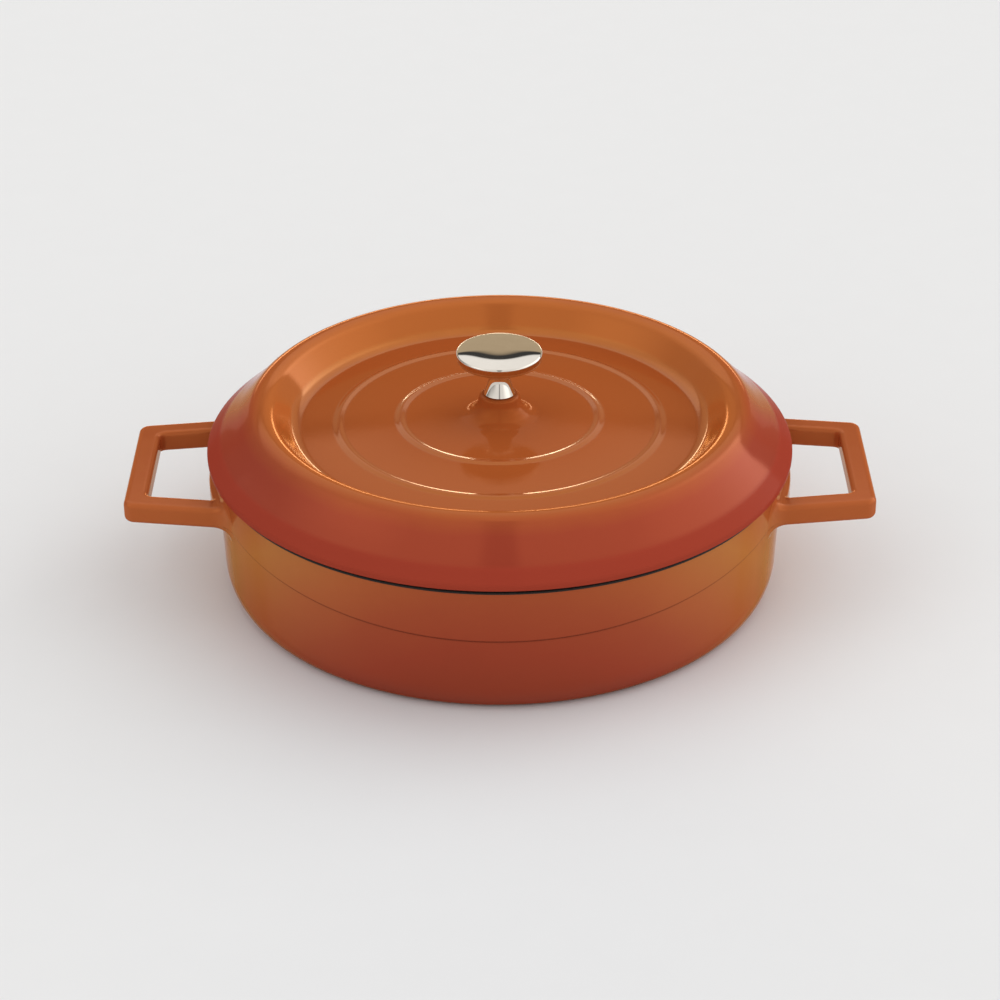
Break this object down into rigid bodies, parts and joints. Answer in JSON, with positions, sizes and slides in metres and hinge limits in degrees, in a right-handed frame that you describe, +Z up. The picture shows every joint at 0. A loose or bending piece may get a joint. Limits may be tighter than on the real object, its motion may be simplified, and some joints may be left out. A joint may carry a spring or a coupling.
{
  "type": "shallow casserole with lid",
  "caption": "Round, shallow enamelled cast-iron casserole with loop handles cast on the pot, and a lift-off lid with a raised ridge and a screwed-on steel knob.",
  "frame": {"origin": "centre of the pot's flat base", "axes": "+Z up through the knob, +X through one loop handle; the picture looks along +Y"},
  "size_m": [0.3798, 0.2994, 0.1257],
  "materials": {
    "pot_enamel": "gloss enamel, orange at the rim and redder towards the base; matte black inside and on the rim",
    "lid_enamel": "gloss enamel, orange in the middle and red on the skirt; matte black underneath",
    "polished_steel": "mirror-polished stainless steel",
    "gasket_fibre": "dark, heat-proof sealing ring",
    "plain_steel": "plain steel"
  },
  "bodies": {
    "pot": {"pot_body": "pot_enamel"},
    "lid": {"lid": "lid_enamel", "knob": "polished_steel", "knob_gasket": "gasket_fibre", "flat_washer": "plain_steel", "spring_washer": "plain_steel", "knob_screw": "plain_steel"}
  },
  "joints": [
    {"name": "lid_lift", "type": "slide", "parent": "pot", "child": "lid", "axis": [0, 0, 1], "range_m": [0, 0.15]}
  ]
}
